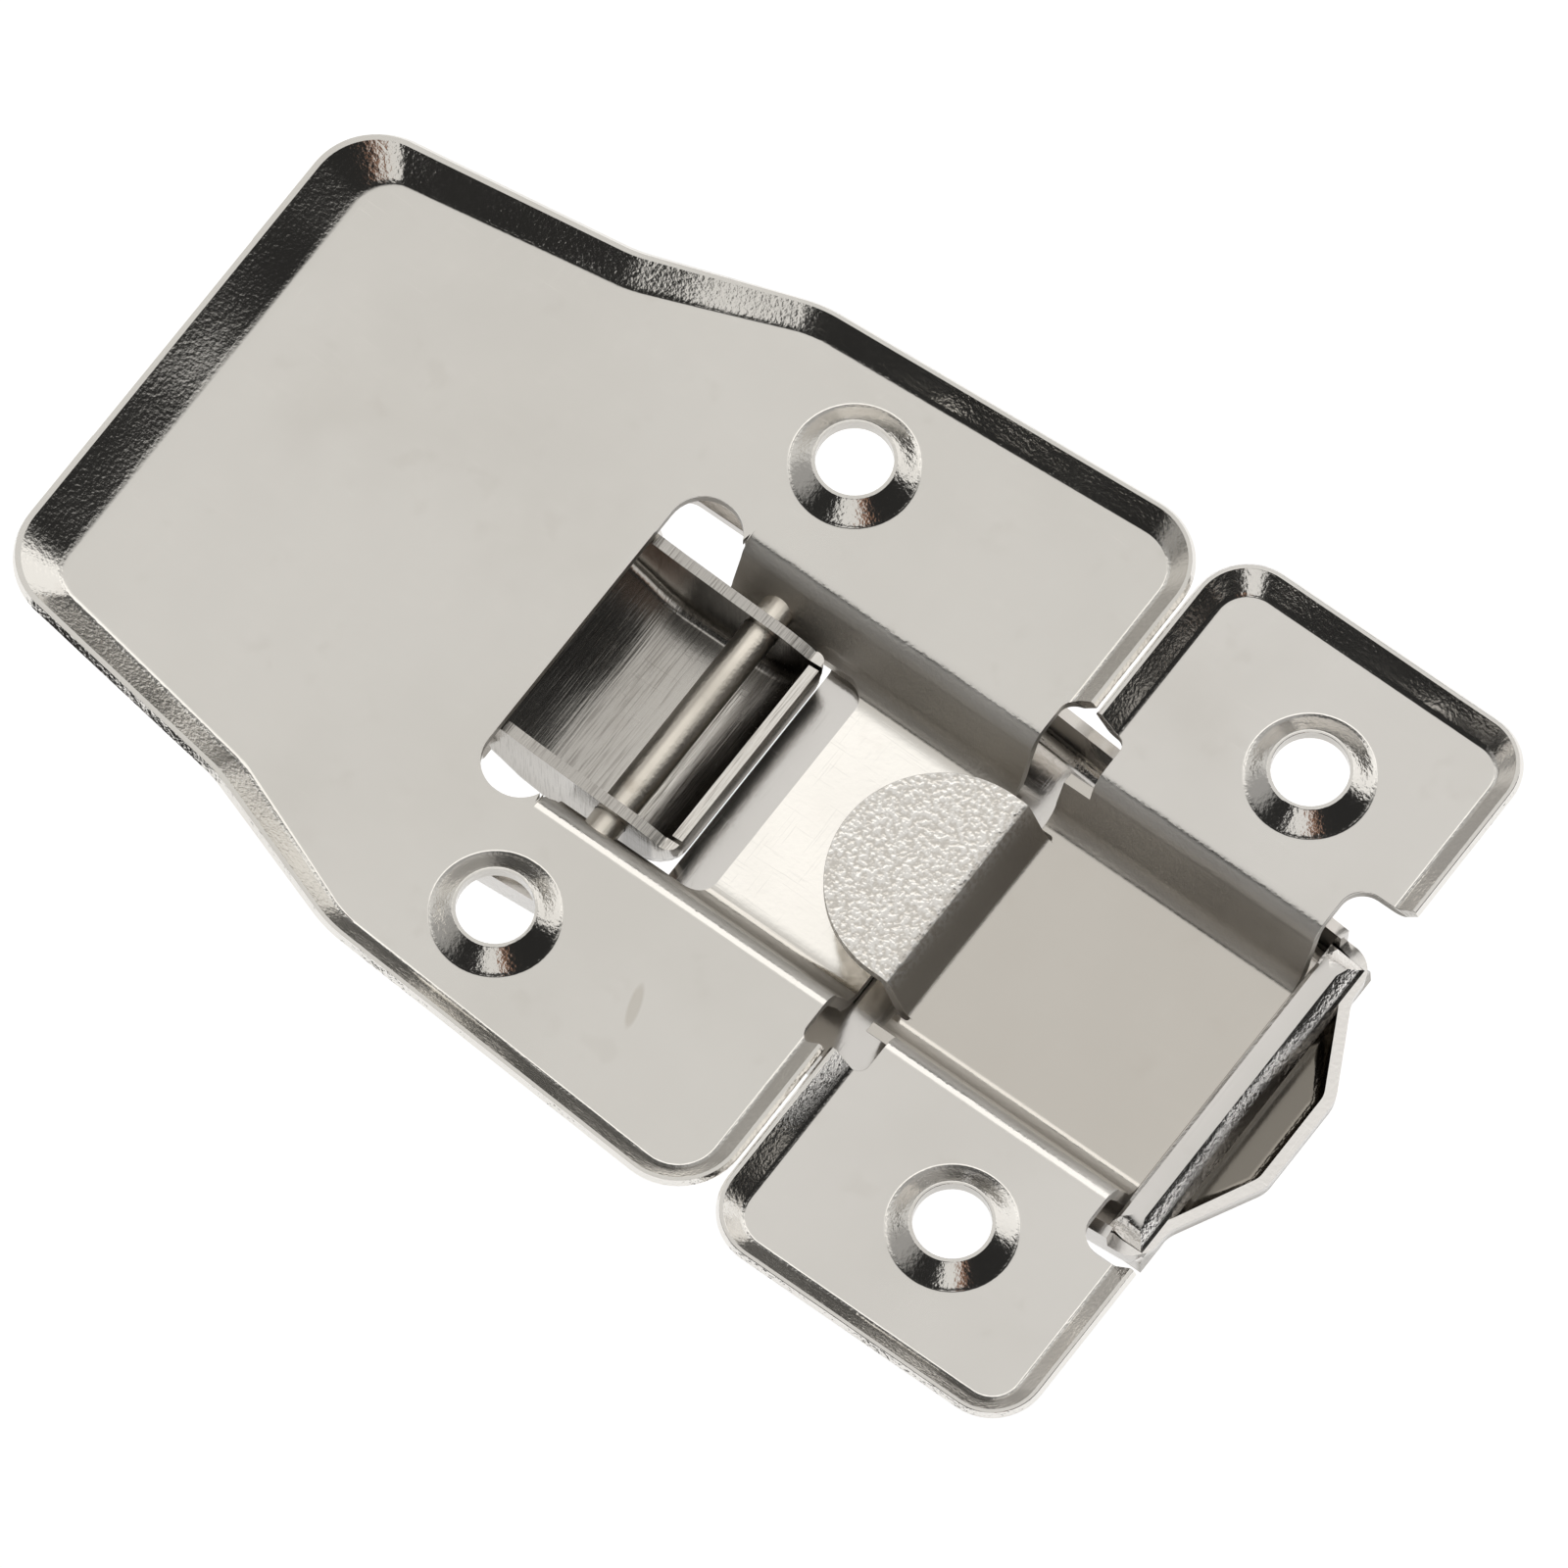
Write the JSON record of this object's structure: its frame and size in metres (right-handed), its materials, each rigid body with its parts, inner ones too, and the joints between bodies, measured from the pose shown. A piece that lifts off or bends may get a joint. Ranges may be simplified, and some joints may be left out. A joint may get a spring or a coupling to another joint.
{
  "type": "over centre toggle latch",
  "caption": "Flat over centre toggle latch: a pressed base plate with a folding lever and draw hook, and a strike plate whose edge the hook's cross ridge pulls on.",
  "frame": {"origin": "midpoint between the base plate's two screw holes, on the plane of the rim edges that lie on the mounting surface", "axes": "+X from the base plate to the strike plate along the pull, +Y across the plates, +Z out of the mounting side into the surface it is screwed to"},
  "size_m": [0.0796, 0.0516, 0.0092],
  "materials": {
    "nickel_sheet": "bright nickel plating over pressed steel, softly polished with fine scratches",
    "nickel_textured": "nickel plating on lightly brushed steel",
    "pin_steel": "plated steel pin with slightly brown, worn plating"
  },
  "bodies": {
    "root": {"base_plate": "nickel_sheet", "strike_plate": "nickel_sheet", "lever_pin": "pin_steel"},
    "lever": {"lever": "nickel_textured", "hook_pin": "pin_steel"},
    "hook": {"draw_hook": "nickel_sheet"}
  },
  "joints": [
    {"name": "lever_swing", "type": "hinge", "parent": "root", "child": "lever", "pos_m": [0.0009, 0, -0.00465], "axis": [0, -1, 0], "range_deg": [0, 100]},
    {"name": "hook_swing", "type": "hinge", "parent": "lever", "child": "hook", "pos_m": [-0.0098, 0, -0.0037], "axis": [0, -1, 0], "range_deg": [-112.5, 0]}
  ],
  "couplings": [
    {"joint": "hook_swing", "follows": "lever_swing", "ratio": -1.12}
  ]
}
